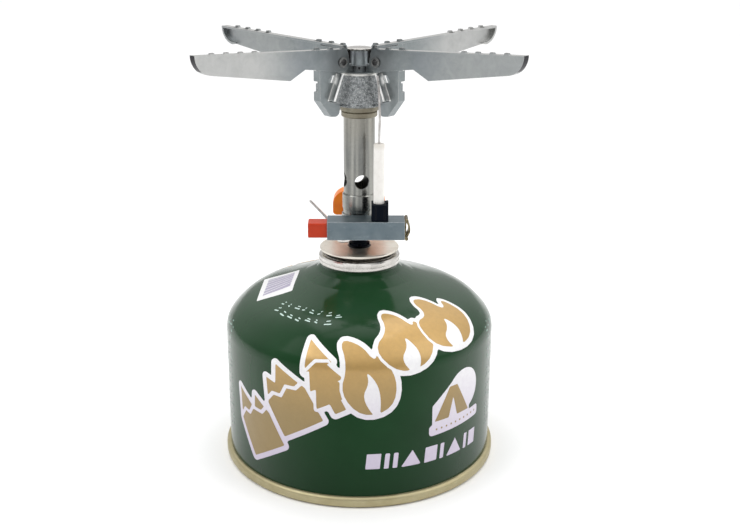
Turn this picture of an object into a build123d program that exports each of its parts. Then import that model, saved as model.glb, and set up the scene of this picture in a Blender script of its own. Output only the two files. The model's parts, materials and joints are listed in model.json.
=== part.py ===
from build123d import *
import math
import os

# Gas canister stove: a screw-on burner with four folding pot supports on a 230 g class canister.
# Millimetres, +Z up, origin at the centre of the canister's foot, -Y is the side with the igniter box.

# canister
rim_radius = 55.0
rim_height = 4.2
wall_radius = 53.3
wall = 0.8
shoulder_height = 53.5
cup_radius = 16.0
cup_floor = 74.0
cup_bottom = 79.3
cup_top = 83.2
boss_radius = 5.5
boss_top = 83.5

# connector between the stove and the canister
disc_radius = 15.6
disc_bottom = 84.7
disc_top = 85.7
socket_radius = 8.4
socket_bore = 5.6
socket_bottom = 76.0

# valve body and flame control
valve_radius = 6.8
valve_bottom = 90.6
valve_top = 100.9
spindle_height = 96.2
spindle_radius = 1.5
knob_half_width = 10.8
knob_rise = 6.8
knob_drop = 3.5
knob_shoulder = 6.0
knob_foot = 1.6
knob_front = 19.0
knob_back = 27.0
lever_radius = 0.55

# mixing tube and burner head
tube_radius = 6.05
tube_bore = 5.3
tube_top = 139.0
air_hole_height = 112.7
air_hole_radius = 2.8
air_hole_turn = 11.0
cone_bottom = 142.6
cone_top = 153.4
cone_bottom_radius = 9.5
cone_top_radius = 6.9
post_radius = 3.2
post_foot_radius = 3.5
post_step = 157.0
port_height = 155.9
cap_radius = 4.7
lug_reach = 4.5
cap_bottom = 162.2
cap_top = 163.2

# pot supports
arm_angle = 39.5
arm_tip = 72.0
arm_sheet = 0.8
arm_gap = 0.05
flange_width = 3.0
flange_start = 7.3
leg_flange = 3.4
leg_edge = 19.0
leg_sheet = 1.0
pivot_reach = 9.05
pivot_height = 158.5
rivet_radius = 1.45
root_bottom = 154.9
top_slope = 0.0463

# igniter
box_left = -12.2
box_right = 17.2
box_front = -17.0
box_back = -7.2
box_bottom = 93.0
box_top = 100.0
box_sheet = 0.4
button_left = -19.5
button_back = -9.25
button_height = 96.5
insulator_x = 7.4
insulator_y = -12.7
insulator_radius = 2.1


def cylinder_z(radius, low, high, x=0.0, y=0.0):
    return Pos(x, y, low) * Cylinder(radius, high - low, align=(Align.CENTER, Align.CENTER, Align.MIN))


def ring_z(outer, inner, low, high, x=0.0, y=0.0):
    return cylinder_z(outer, low, high, x, y) - cylinder_z(inner, low - 1, high + 1, x, y)


def cylinder_y(radius, near, far, x, z):
    return Pos(x, near, z) * Rot(-90, 0, 0) * Cylinder(radius, far - near,
        align=(Align.CENTER, Align.CENTER, Align.MIN))


def block(x0, x1, y0, y1, z0, z1):
    return Pos((x0 + x1) / 2, (y0 + y1) / 2, (z0 + z1) / 2) * Box(x1 - x0, y1 - y0, z1 - z0)


def turned(points):
    outline = make_face(Polyline(*points, close=True))
    return revolve(Plane.XZ * outline, Axis.Z)


def save(shape, name):
    export_step(shape, f"parts/{name}.step")


# ---------------------------------------------------------------- canister
def dome_edge(inset):
    foot = Line((wall_radius - inset, 1.0), (wall_radius - inset, shoulder_height))
    shoulder = Spline(
        (wall_radius - inset, shoulder_height),
        (50.0 - 0.8 * inset, 60.8 - 0.6 * inset),
        (45.0 - 0.4 * inset, 65.3 - 0.9 * inset),
        (35.0, 69.7 - inset),
        (22.0, 74.4 - inset),
        tangents=((0, 1), (-1, 0.38)),
    )
    return foot, shoulder


def canister_shell():
    foot, shoulder = dome_edge(0.0)
    foot_in, shoulder_in = dome_edge(wall)
    neck = Polyline((22.0, 74.4), (17.0, 76.9), (15.2, 78.4), (15.2, 81.2), (14.4, 81.2))
    neck_in = Polyline((14.4, 81.2), (14.4, 77.9), (16.4, 76.2), (22.0, 73.6))
    hem = Line((wall_radius - wall, 1.0), (wall_radius, 1.0))
    outline = make_face(foot + shoulder + neck + neck_in + shoulder_in + foot_in + hem)
    return revolve(Plane.XZ * outline, Axis.Z)


def pan_arc(edge, low, high):
    rise = high - low
    radius = (edge ** 2 + rise ** 2) / (2 * rise)
    middle = high - radius + math.sqrt(radius ** 2 - (edge / 2) ** 2)
    return ThreePointArc((edge, low), (edge / 2, middle), (0.0, high))


def canister_base():
    seat = wall_radius - wall
    outer = pan_arc(seat - 0.8, 3.4, 10.2)
    inner = pan_arc(seat - 1.6, 5.2, 11.0)
    axis_edge = Line((0.0, 10.2), (0.0, 11.0))
    skirt = Polyline((seat - 1.6, 5.2), (seat - 0.8, 5.8), (seat, 5.8), (seat, 0.8), (seat - 0.8, 0.8),
        (seat - 0.8, 3.4))
    return revolve(Plane.XZ * make_face(outer + axis_edge + inner + skirt), Axis.Z)


def base_seam():
    roll = 1.4
    inside = rim_radius - roll
    bend = roll * math.sqrt(0.5)
    side = Polyline((wall_radius, 0.8), (wall_radius, rim_height), (inside, rim_height))
    upper = ThreePointArc((inside, rim_height), (inside + bend, rim_height - roll + bend),
        (rim_radius, rim_height - roll))
    edge = Line((rim_radius, rim_height - roll), (rim_radius, roll))
    lower = ThreePointArc((rim_radius, roll), (inside + bend, roll - bend), (inside, 0.0))
    foot = Polyline((inside, 0.0), (52.2, 0.0), (51.5, 0.5), (51.5, 0.8), (wall_radius, 0.8))
    return revolve(Plane.XZ * make_face(side + upper + edge + lower + foot), Axis.Z)


def valve_cup():
    curl = turned([
        (15.2, cup_bottom), (15.7, cup_bottom + 0.1), (cup_radius, cup_bottom + 0.6), (cup_radius, 80.9),
        (15.75, 81.1), (15.75, 81.35), (cup_radius, 81.55), (cup_radius, 82.5), (15.5, 83.0),
        (14.6, cup_top),
        (13.6, cup_top - 0.2), (12.9, cup_top - 0.9), (12.9, cup_floor + 0.8),
        (boss_radius, cup_floor + 0.8),
        (boss_radius, boss_top), (3.2, boss_top), (3.2, 82.2), (4.6, 81.6), (4.6, cup_floor),
        (13.7, cup_floor),
        (13.7, 81.2), (15.2, 81.2),
    ])
    thread = turned([(boss_radius - 0.4, 79.0), (boss_radius - 0.4, 79.25), (boss_radius + 1, 79.25),
        (boss_radius + 1, 79.0)])
    return curl - thread


def cup_gasket():
    return ring_z(14.4, 13.7, 77.9, 81.2)


def valve_housing():
    return ring_z(4.6, 3.4, 70.0, 81.0) + cylinder_z(4.6, 68.8, 70.0) + ring_z(2.0, 1.0, 66.0, 68.8)


def valve_stem():
    return cylinder_z(1.3, 77.2, 82.6) + cylinder_z(3.0, 76.0, 77.2)


def stem_gasket():
    return ring_z(3.4, 1.4, 80.0, 81.0)


def coil(radius, wire, height, turns, frame):
    path = Helix(pitch=height / turns, height=height, radius=radius)
    start = Plane(path @ 0, z_dir=path % 0)
    return frame * sweep(start * Circle(wire), path=path)


# ---------------------------------------------------------------- connector
def connector_flange():
    disc = turned([
        (0.0, disc_bottom), (disc_radius - 0.3, disc_bottom), (disc_radius, disc_bottom + 0.3),
        (disc_radius, disc_top - 0.3), (disc_radius - 0.3, disc_top), (4.4, disc_top),
        (4.0, disc_top + 0.3), (0.0, disc_top + 0.3),
    ])
    socket = ring_z(socket_radius, socket_bore, socket_bottom, disc_bottom + 0.1)
    relief = turned([(6.0, 77.5), (6.0, 77.9), (5.0, 77.9), (5.0, 77.5)])
    return disc + socket - relief - cylinder_z(1.0, disc_bottom - 1, disc_top + 1)


def connector_seal():
    return turned([(3.6, 83.75), (3.85, 83.55), (4.95, 83.55), (5.2, 83.75), (5.2, 84.3), (4.95, 84.55),
        (3.85, 84.55), (3.6, 84.3)])


def depressor_pin():
    return cylinder_z(1.0, 82.65, disc_top + 0.3) - cylinder_z(0.4, 83.4, disc_top + 1)


def neck_collar():
    body = turned([(2.4, 86.0), (2.9, 86.0), (2.9, 86.2), (4.1, 86.2), (4.1, 87.1), (3.0, 87.4),
        (3.0, 90.4), (2.4, 90.4)])
    for turn in range(6):
        body -= Rot(0, 0, turn * 60 + 30) * block(3.3, 4.6, -0.7, 0.7, 86.1, 88.0)
    return body


# ---------------------------------------------------------------- valve and flame control
def valve_body():
    stub = cylinder_z(2.4, disc_top + 0.3, valve_bottom + 0.5)
    body = turned([
        (0.0, valve_bottom), (4.6, valve_bottom), (valve_radius, valve_bottom + 1.8), (valve_radius, 99.2),
        (6.5, 99.5), (6.3, 99.5), (6.3, valve_top), (0.0, valve_top),
    ])
    boss = cylinder_y(3.45, 2.0, 11.4, 0.0, spindle_height)
    whole = stub + body + boss
    whole -= cylinder_z(0.7, 80.0, 97.0)
    whole -= cylinder_y(spindle_radius + 0.05, 1.0, 20.0, 0.0, spindle_height)
    whole -= cylinder_y(2.6, 9.0, 20.0, 0.0, spindle_height)
    whole -= cylinder_z(2.0, valve_top - 1.3, valve_top + 1)
    return whole


def gland_nut():
    hexagon = RegularPolygon(5.0, 6)
    nut = extrude(Plane(origin=(0, 11.4, spindle_height), x_dir=(1, 0, 0), z_dir=(0, 1, 0)) * hexagon,
        amount=3.4)
    nut += cylinder_y(2.6, 10.4, 11.5, 0.0, spindle_height)
    return nut - cylinder_y(spindle_radius + 0.05, 9.0, 16.0, 0.0, spindle_height)


def spindle_o_ring():
    return cylinder_y(2.6, 9.1, 10.4, 0.0, spindle_height) - cylinder_y(spindle_radius + 0.05, 9.0, 11.0,
        0.0, spindle_height)


def valve_spindle():
    rod = cylinder_y(spindle_radius, 3.6, 25.0, 0.0, spindle_height)
    tip = Pos(0, 2.6, spindle_height) * Rot(-90, 0, 0) * Cone(0.5, spindle_radius, 2.0,
        align=(Align.CENTER, Align.CENTER, Align.MIN))
    return rod + tip


def control_knob():
    middle = spindle_height + (knob_rise - knob_drop) / 2
    plane = Plane(origin=(0, knob_back, middle), x_dir=(1, 0, 0), z_dir=(0, -1, 0))
    outline = Rectangle(2 * knob_half_width, knob_rise + knob_drop)
    outline = fillet(outline.vertices().group_by(Axis.Y)[-1], knob_shoulder)
    outline = fillet(outline.vertices().group_by(Axis.Y)[0], knob_foot)
    paddle = extrude(plane * outline, amount=knob_back - knob_front)
    paddle = fillet(paddle.faces().sort_by(Axis.Y)[-1].edges(), 1.1)
    hub = cylinder_y(3.9, 15.6, knob_front + 1.0, 0.0, spindle_height)
    knob = paddle + hub
    for side in (-1, 1):
        for rib in range(3):
            knob -= Pos(side * (8.4 - 1.5 * rib), knob_back + 0.3, middle) * Box(0.6, 1.2, 4.4 + 0.6 * rib)
    knob -= cylinder_y(spindle_radius, 14.0, 25.0, 0.0, spindle_height)
    knob -= cylinder_y(1.1, 24.0, 30.0, 0.0, spindle_height)
    knob -= cylinder_y(2.3, 26.2, 30.0, 0.0, spindle_height)
    return knob


def knob_screw():
    screw = cylinder_y(2.2, 26.2, 27.4, 0.0, spindle_height) + cylinder_y(1.1, 25.0, 26.3, 0.0,
        spindle_height)
    return screw - block(-2.5, 2.5, 26.9, 28.0, spindle_height - 0.3, spindle_height + 0.3)


def control_lever():
    path = FilletPolyline((-3.0, 17.3, 93.0), (-6.5, 17.3, 87.8), (-12.0, 17.6, 90.4), (-19.9, 17.8, 98.9),
        radius=2.2)
    rod = sweep(Plane(path @ 0, z_dir=path % 0) * Circle(lever_radius), path=path)
    tip = Pos(-19.9, 17.8, 98.9) * Sphere(lever_radius)
    clasp = cylinder_y(4.6, 16.3, 18.3, 0.0, spindle_height) - cylinder_y(3.9, 15.0, 19.0, 0.0,
        spindle_height)
    return clasp + rod + tip


def gas_jet():
    plane = Plane(origin=(0, 0, valve_top))
    body = extrude(plane * RegularPolygon(3.4, 6), amount=2.4)
    body += cylinder_z(2.0, valve_top - 1.3, valve_top + 0.1)
    body += Pos(0, 0, valve_top + 2.4) * Cone(2.7, 1.3, 2.2, align=(Align.CENTER, Align.CENTER, Align.MIN))
    return body - cylinder_z(0.5, 97.0, valve_top + 3.7) - cylinder_z(0.2, valve_top + 3.3, valve_top + 6)


# ---------------------------------------------------------------- mixing tube and burner head
def mixing_tube():
    tube = ring_z(tube_radius, tube_bore, valve_top, tube_top)
    for quarter in range(4):
        turn = -90 + air_hole_turn + quarter * 90
        drill = Rot(0, 0, turn) * Pos(0, 0, air_hole_height) * Rot(0, 90, 0) * Cylinder(
            air_hole_radius, 10, align=(Align.CENTER, Align.CENTER, Align.MIN))
        tube -= drill
    return tube


def tube_collar():
    return turned([
        (tube_radius, valve_top), (6.35, valve_top), (6.35, 101.3), (6.55, 101.5), (6.55, 107.0),
        (6.3, 107.4), (tube_radius, 107.4),
    ])


def head_collar():
    return turned([
        (tube_radius, 137.4), (6.6, 137.4), (6.9, 137.7), (6.9, 139.2), (6.6, 139.5), (7.3, 139.8),
        (7.3, 141.4), (tube_bore, 141.4),
        (tube_bore, tube_top), (tube_radius, tube_top),
    ])


def burner_cone():
    shell = turned([
        (tube_bore, 141.4), (7.3, 141.4), (9.0, 141.8), (cone_bottom_radius, 142.2),
        (cone_bottom_radius, cone_bottom + 0.4),
        (9.25, cone_bottom + 0.9), (cone_top_radius, cone_top), (cone_top_radius - 0.9, cone_top),
        (8.2, 143.2), (tube_bore, 142.4),
    ])
    for port in range(10):
        shell -= Rot(0, 0, port * 36 + 18) * Pos(9.6, 0, 142.9) * Box(1.0, 2.2, 0.5)
    return shell


def burner_crown():
    plate = turned([(0.0, cone_top), (7.1, cone_top), (7.1, cone_top + 0.7), (5.6, cone_top + 1.0),
        (0.0, cone_top + 1.0)])
    post = turned([
        (0.0, cone_top), (post_foot_radius, cone_top), (post_foot_radius, post_step - 0.3),
        (post_radius, post_step), (post_radius, cap_bottom), (0.0, cap_bottom),
    ])
    lugs = block(-lug_reach, lug_reach, -0.5, 0.5, post_step + 0.3, cap_bottom)
    crown = plate + post + lugs - cylinder_z(1.6, cone_top - 1, cap_bottom - 0.8)
    for port in range(8):
        drill = Rot(0, 0, port * 45) * Pos(0, 0, port_height) * Rot(0, 90, 0) * Cylinder(
            0.45, 6, align=(Align.CENTER, Align.CENTER, Align.MIN))
        crown -= drill
    for port in range(20):
        crown -= Rot(0, 0, port * 18) * cylinder_z(0.4, cone_top - 1, cone_top + 2, 4.8, 0.0)
    return crown


def burner_cap():
    return turned([
        (0.0, cap_bottom), (3.9, cap_bottom), (cap_radius, cap_bottom + 0.7), (cap_radius, cap_top - 0.1),
        (cap_radius - 0.2, cap_top), (0.0, cap_top),
    ])


# ---------------------------------------------------------------- pot supports
supports = (
    ("front_left", 180 + arm_angle, -1),
    ("front_right", -arm_angle, 1),
    ("rear_left", 180 - arm_angle, 1),
    ("rear_right", arm_angle, -1),
)


def arm_offsets():
    near = leg_sheet / 2 + arm_gap
    return near, near + arm_sheet


def support_plane(turn, offset):
    angle = math.radians(turn)
    outward = Vector(math.cos(angle), math.sin(angle), 0)
    across = Vector(math.sin(angle), -math.cos(angle), 0)
    return Plane(origin=across * offset, x_dir=outward, z_dir=across)


def slab(outline, low, high, turn, side):
    face = outline
    if isinstance(outline, list):
        face = make_face(Polyline(*outline, close=True))
    start = min(side * low, side * high)
    return extrude(support_plane(turn, start) * face, amount=high - low)


def top_height(reach):
    return 163.2 + (reach - 6.2) * top_slope


def arm_outline():
    root = Polyline((flange_start, top_height(flange_start)), (6.5, 162.0), (6.2, 161.0), (6.2, 157.2),
        (6.9, 155.6), (8.6, root_bottom))
    lower = Polyline((8.6, root_bottom), (21.0, 156.7), (26.2, 157.4), (33.0, 154.0), (66.0, 159.1))
    end = ThreePointArc((66.0, 159.1), (70.6, 161.8), (arm_tip, top_height(arm_tip)))
    upper = Line((arm_tip, top_height(arm_tip)), (flange_start, top_height(flange_start)))
    return make_face(root + lower + end + upper)


def flange_outline():
    inner_tip = (arm_tip - arm_sheet, top_height(arm_tip) - arm_sheet)
    end = ThreePointArc((66.0, 159.1), (70.6, 161.8), (arm_tip, top_height(arm_tip)))
    upper = Polyline((arm_tip, top_height(arm_tip)), (flange_start, top_height(flange_start)),
                     (flange_start, top_height(flange_start) - arm_sheet), inner_tip)
    end_in = ThreePointArc(inner_tip, (69.9, 162.2), (65.8, 159.9))
    return make_face(end + upper + end_in + Line((65.8, 159.9), (66.0, 159.1)))


def pot_arm(turn, side):
    near, far = arm_offsets()
    arm = slab(arm_outline(), near, far, turn, side)
    arm += slab(flange_outline(), far - flange_width, near + 0.01, turn, side)
    for reach in (8.6, 14.4, 47.6, 53.4, 59.2, 65.0):
        base = top_height(reach) - 0.05
        arm += slab([(reach - 1.1, base), (reach + 1.1, base), (reach + 0.7, base + 0.75),
            (reach - 0.7, base + 0.75)],
                    near - 0.4, far, turn, side)
    for reach in (47.6, 53.4, 59.2, 65.0):
        base = top_height(reach)
        arm -= slab([(reach - 1.0, base - 2), (reach + 1.0, base - 2), (reach + 1.0, base + 2),
            (reach - 1.0, base + 2)],
                    far - 2.3, near - 0.4, turn, side)
    arm -= slab([(18.6, 160.0), (22.2, 160.0), (22.2, 166.0), (18.6, 166.0)], -0.75, near - 0.02, turn,
        side)
    hole = Pos(pivot_reach, pivot_height) * Circle(rivet_radius + 0.05)
    return arm - slab(hole, near - 1, far + 1, turn, side)


def support_leg(turn, side):
    half = leg_sheet / 2
    boss = ThreePointArc((5.15, pivot_height), (6.29, 161.26), (pivot_reach, 162.4))
    outer = Polyline(
        (pivot_reach, 162.4), (21.4, 162.4), (21.4, 157.6), (leg_edge, 156.0), (leg_edge, 144.9),
        (14.2, 138.7), (12.2, 138.5),
    )
    toe = ThreePointArc((12.2, 138.5), (10.6, 139.0), (9.9, 140.4))
    inner = Polyline(
        (9.9, 140.4), (9.5, 142.2), (9.5, 143.0), (12.4, 143.7), (14.6, 144.4), (15.0, 145.0),
        (11.1, 154.4),
        (3.62, 154.4), (3.62, 156.4), (5.15, 157.2), (5.15, pivot_height),
    )
    leg = slab(make_face(boss + outer + toe + inner), -half, half, turn, side)
    strip = [(15.1, 145.2), (11.1, 154.84), (10.1, 154.6), (14.2, 144.72)]
    leg += slab(strip, -half, leg_flange, turn, side)
    rim = [
        (leg_edge, 156.0), (leg_edge, 144.9), (14.2, 138.7), (13.5, 139.25), (leg_edge - 0.8, 145.2),
        (leg_edge - 0.8, 155.6),
    ]
    leg += slab(rim, -leg_flange, half, turn, side)
    notch = [(17.0, 148.4), (20.0, 148.0), (20.0, 152.2), (17.0, 151.8)]
    leg -= slab(notch, -leg_flange - 1, -1.1, turn, side)
    tab = [(18.9, 162.3), (21.2, 162.3), (21.0, 164.6), (19.1, 164.6)]
    leg += slab(tab, -half, half, turn, side)
    window = fillet(make_face(Polyline(
        (11.7, 154.0), (13.6, 154.0), (14.8, 152.4), (14.8, 151.2), (12.9, 151.2), close=True)).vertices(), 0.4)
    leg -= slab(window, -half - 1, half + 1, turn, side)
    hole = Pos(pivot_reach, pivot_height) * Circle(rivet_radius)
    return leg - slab(hole, -half - 1, half + 1, turn, side)


def arm_rivet(turn, side):
    near, far = arm_offsets()
    half = leg_sheet / 2
    centre = Pos(pivot_reach, pivot_height)
    shank = slab(centre * Circle(rivet_radius), -half, far + 0.1, turn, side)
    head = slab(centre * Circle(1.95), far + 0.1, far + 0.5, turn, side)
    tail = slab(centre * Circle(1.95), -half - 0.5, -half, turn, side)
    return shank + head + tail - slab(centre * Circle(1.05), -3, 4, turn, side)


# ---------------------------------------------------------------- igniter
def igniter_bracket():
    sheet = box_sheet
    shell = block(box_left, box_right, box_front, box_back, box_bottom, box_top)
    shell -= block(box_left - 1, box_right + 1, box_front + sheet, box_back - sheet, box_bottom + sheet,
        box_top - sheet)
    shell -= block(box_left - 1, -6.5, box_back - 1, box_back + 1, box_bottom + 1.6, box_top - 1.6)
    shell -= block(6.5, box_right + 1, box_back - 1, box_back + 1, box_bottom + 1.6, box_top - 1.6)
    shell += block(-4.0, 4.0, box_back - 0.1, -6.0, box_bottom + 0.4, 98.6)
    shell -= cylinder_z(valve_radius, 90.0, 101.0)
    shell -= cylinder_z(0.9, box_top - 1, box_top + 1, insulator_x, insulator_y)
    shell -= cylinder_z(1.0, box_bottom - 1, box_bottom + 1, -6.0, -14.6)
    return shell


def piezo_unit():
    case = block(-3.4, 16.2, box_front + 0.6, button_back, box_bottom + 0.6, box_top - 0.6)
    case -= cylinder_x(2.2, -3.6, -1.4, -12.8, button_height)
    case -= cylinder_z(0.5, box_top - 1.8, box_top, insulator_x, insulator_y)
    return case - cylinder_z(1.0, box_bottom - 1, box_bottom + 1.8, -6.0, -14.6)


def cylinder_x(radius, left, right, y, z):
    return Pos(left, y, z) * Rot(0, 90, 0) * Cylinder(radius, right - left,
        align=(Align.CENTER, Align.CENTER, Align.MIN))


def igniter_button():
    head = block(button_left, -8.2, box_front + 0.65, button_back, box_bottom + 0.65, box_top - 0.65)
    head = fillet(head.edges().filter_by(Axis.X), 0.5)
    head = fillet(head.faces().sort_by(Axis.X)[0].edges(), 0.4)
    return head - cylinder_x(2.2, -10.4, -8.0, -12.8, button_height)


def igniter_end_cap():
    plug = block(16.2, box_right, box_front + 0.5, box_back - 0.9, box_bottom + 0.5, box_top - 0.5)
    plate = block(box_right, box_right + 0.6, box_front + 1.0, box_back - 1.4, box_bottom - 0.1,
        box_top + 0.1)
    bow = make_face(
        ThreePointArc((box_right + 0.4, 100.4), (box_right + 2.2, 96.6), (box_right + 0.4, 92.8))
        + Line((box_right + 0.4, 92.8), (box_right + 0.4, 93.7))
        + ThreePointArc((box_right + 0.4, 93.7), (box_right + 1.5, 96.6), (box_right + 0.4, 99.5))
        + Line((box_right + 0.4, 99.5), (box_right + 0.4, 100.4))
    )
    spring = extrude(Plane(origin=(0, -10.2, 0), x_dir=(1, 0, 0), z_dir=(0, -1, 0)) * bow, amount=4.6)
    cap = plug + plate + spring
    for height in (100.2, 93.0):
        cap += cylinder_y(0.65, -15.6, -9.4, box_right + 0.75, height)
    return cap


def igniter_contact():
    return cylinder_z(0.5, box_top - 1.8, 103.9, insulator_x, insulator_y)


def insulator_clip():
    clip = block(4.6, 11.0, -16.2, -9.4, box_top, 106.5)
    clip = fillet(clip.edges().filter_by(Axis.Z), 0.8)
    clip -= cylinder_z(insulator_radius, 102.7, 110.0, insulator_x, insulator_y)
    clip -= cylinder_z(0.5, 99.0, 103.2, insulator_x, insulator_y)
    clip += block(10.2, 11.0, -14.6, -12.2, 106.3, 107.4)
    for groove in (6.0, 9.3):
        clip -= block(groove, groove + 0.4, -16.4, -15.9, 100.8, 105.8)
    return clip - block(4.0, 4.9, -14.0, -11.4, 101.2, 107.4)


def ceramic_insulator():
    rod = cylinder_z(insulator_radius, 102.7, 129.4, insulator_x, insulator_y)
    rod = chamfer(rod.edges().sort_by(Axis.Z)[-1:], 0.4)
    return rod - cylinder_z(0.5, 102.0, 130.0, insulator_x, insulator_y)


def electrode_wire():
    x = insulator_x
    y = insulator_y
    path = FilletPolyline((x, y, 103.9), (x, y, 132.0), (x + 0.2, y - 0.1, 138.0), (x - 0.1, y, 148.0),
        (x - 0.7, y + 0.9, 154.4),
                          radius=4.0)
    wire = sweep(Plane(path @ 0, z_dir=path % 0) * Circle(0.45), path=path)
    return wire


def bracket_screw():
    head = turned([(0.0, 91.9), (2.2, 91.9), (2.6, 92.3), (2.6, box_bottom), (0.0, box_bottom)])
    screw = head + cylinder_z(1.0, box_bottom - 0.1, box_bottom + 0.55)
    screw -= Pos(0, 0, 91.9) * Box(4.0, 0.6, 0.7)
    return Pos(-6.0, -14.6, 0) * screw


os.makedirs("parts", exist_ok=True)

save(canister_shell(), "canister_shell")
save(canister_base(), "canister_base")
save(base_seam(), "base_seam")
save(valve_cup(), "valve_cup")
save(cup_gasket(), "cup_gasket")
save(valve_housing(), "valve_housing")
save(valve_stem(), "valve_stem")
save(stem_gasket(), "stem_gasket")
save(coil(2.4, 0.3, 5.2, 5, Pos(0, 0, 70.4)), "valve_spring")

save(connector_flange(), "connector_flange")
save(connector_seal(), "connector_seal")
save(depressor_pin(), "depressor_pin")
save(neck_collar(), "neck_collar")

save(valve_body(), "valve_body")
save(gland_nut(), "gland_nut")
save(spindle_o_ring(), "spindle_o_ring")
save(valve_spindle(), "valve_spindle")
save(control_knob(), "control_knob")
save(control_lever(), "control_lever")
save(knob_screw(), "knob_screw")

save(gas_jet(), "gas_jet")
save(mixing_tube(), "mixing_tube")
save(tube_collar(), "tube_collar")
save(head_collar(), "head_collar")
save(burner_cone(), "burner_cone")
save(burner_crown(), "burner_crown")
save(burner_cap(), "burner_cap")

for place, bearing, facing in supports:
    save(support_leg(bearing, facing), f"support_leg_{place}")
    save(pot_arm(bearing, facing), f"pot_arm_{place}")
save(Compound([arm_rivet(bearing, facing) for place, bearing, facing in supports]), "arm_rivets")

save(igniter_bracket(), "igniter_bracket")
save(piezo_unit(), "piezo_unit")
save(igniter_button(), "igniter_button")
save(coil(1.7, 0.25, 8.4, 6, Pos(-10.1, -12.8, button_height) * Rot(0, 90, 0)), "button_spring")
save(igniter_end_cap(), "igniter_end_cap")
save(igniter_contact(), "igniter_contact")
save(insulator_clip(), "insulator_clip")
save(ceramic_insulator(), "ceramic_insulator")
save(electrode_wire(), "electrode_wire")
save(bracket_screw(), "bracket_screw")
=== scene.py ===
import json
import math
import random

import bmesh
import bpy
import numpy as np
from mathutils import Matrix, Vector


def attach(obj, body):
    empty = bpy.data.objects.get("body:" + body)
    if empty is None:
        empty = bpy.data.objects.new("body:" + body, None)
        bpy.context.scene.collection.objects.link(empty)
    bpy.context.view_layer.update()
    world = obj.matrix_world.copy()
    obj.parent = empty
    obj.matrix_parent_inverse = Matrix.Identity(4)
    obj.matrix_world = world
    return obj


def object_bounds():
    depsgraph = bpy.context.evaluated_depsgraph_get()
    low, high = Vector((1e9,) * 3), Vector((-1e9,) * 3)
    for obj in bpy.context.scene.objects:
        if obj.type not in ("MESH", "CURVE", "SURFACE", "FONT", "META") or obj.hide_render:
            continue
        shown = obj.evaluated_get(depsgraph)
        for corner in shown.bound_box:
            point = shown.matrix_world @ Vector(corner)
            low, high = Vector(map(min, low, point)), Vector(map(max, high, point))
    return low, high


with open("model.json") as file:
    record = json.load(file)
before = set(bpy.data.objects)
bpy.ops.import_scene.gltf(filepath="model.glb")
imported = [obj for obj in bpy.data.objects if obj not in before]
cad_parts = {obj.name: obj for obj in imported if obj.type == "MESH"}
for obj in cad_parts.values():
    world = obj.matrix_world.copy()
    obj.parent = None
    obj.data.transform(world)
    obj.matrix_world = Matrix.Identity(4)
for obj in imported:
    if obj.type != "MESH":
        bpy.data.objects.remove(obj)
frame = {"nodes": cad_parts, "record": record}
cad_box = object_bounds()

nodes = frame["nodes"]
MM = 0.001
# The fold pins: distance from the upright axis, height and bore radius, in metres
PIVOT_REACH = 0.00905
PIVOT_HEIGHT = 0.1585
BORE = 0.00112
# The line that the tops of the open arms follow: height at the axis, and rise per metre of reach
CREST_HEIGHT = 0.16291
CREST_SLOPE = 0.0463


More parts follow.
